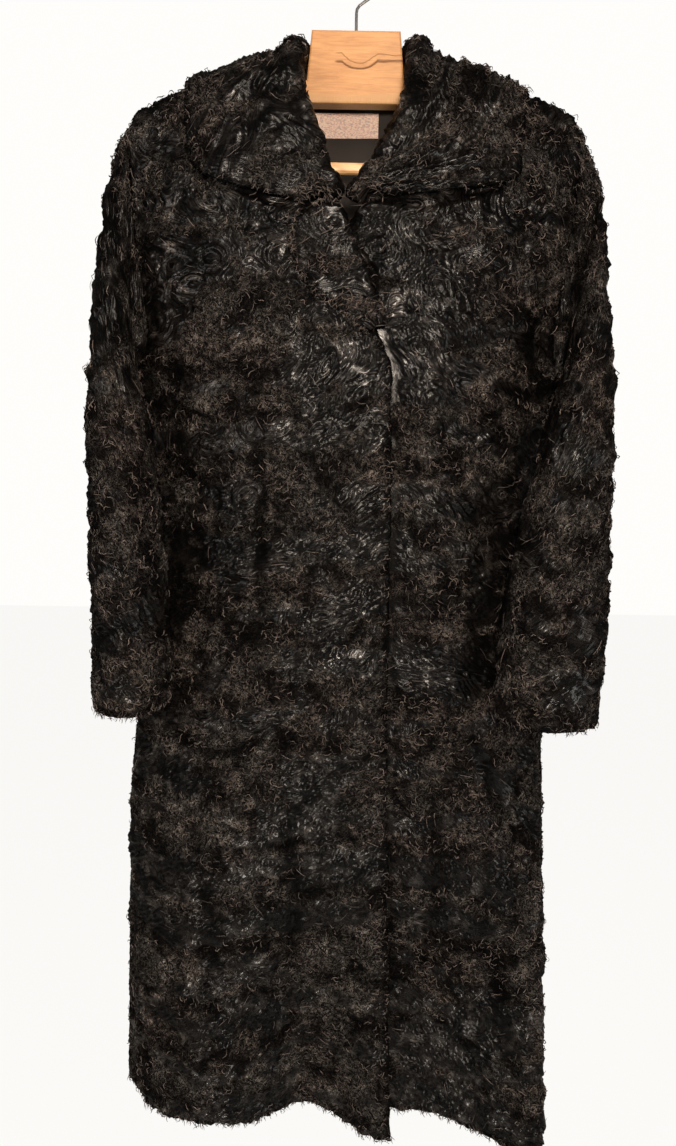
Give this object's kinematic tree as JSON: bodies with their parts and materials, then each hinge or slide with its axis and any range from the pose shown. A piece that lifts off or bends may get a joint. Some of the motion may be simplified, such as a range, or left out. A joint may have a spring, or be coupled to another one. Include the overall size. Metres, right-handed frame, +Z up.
{
  "type": "fur coat on a wooden coat hanger",
  "caption": "Long curly-lamb fur coat with a wide turned-out collar and open front neck, hanging by a wooden hanger with a wire hook.",
  "frame": {"origin": "inner top of the hanger's hook, where it hangs on a rail or peg", "axes": "+Z up, the coat's front faces -Y, +X is towards the wearer's left"},
  "size_m": [0.541, 0.1854, 1.2935],
  "materials": {
    "fur": "black curly lamb fur, patches of tight curls and of smooth shiny hair",
    "lining": "dark grey-black satin lining",
    "label": "woven pale label, left blank",
    "hanger_wood": "clear-varnished light wood",
    "hook_wire": "plain drawn wire"
  },
  "bodies": {
    "root": {"back": "fur", "front_right": "fur", "front_left": "fur", "sleeve_right": "fur", "sleeve_left": "fur", "collar": "fur", "lapel_right": "fur", "lining_back": "lining", "label": "label", "hanger_body": "hanger_wood", "trouser_bar": "hanger_wood", "hook": "hook_wire"}
  },
  "joints": []
}
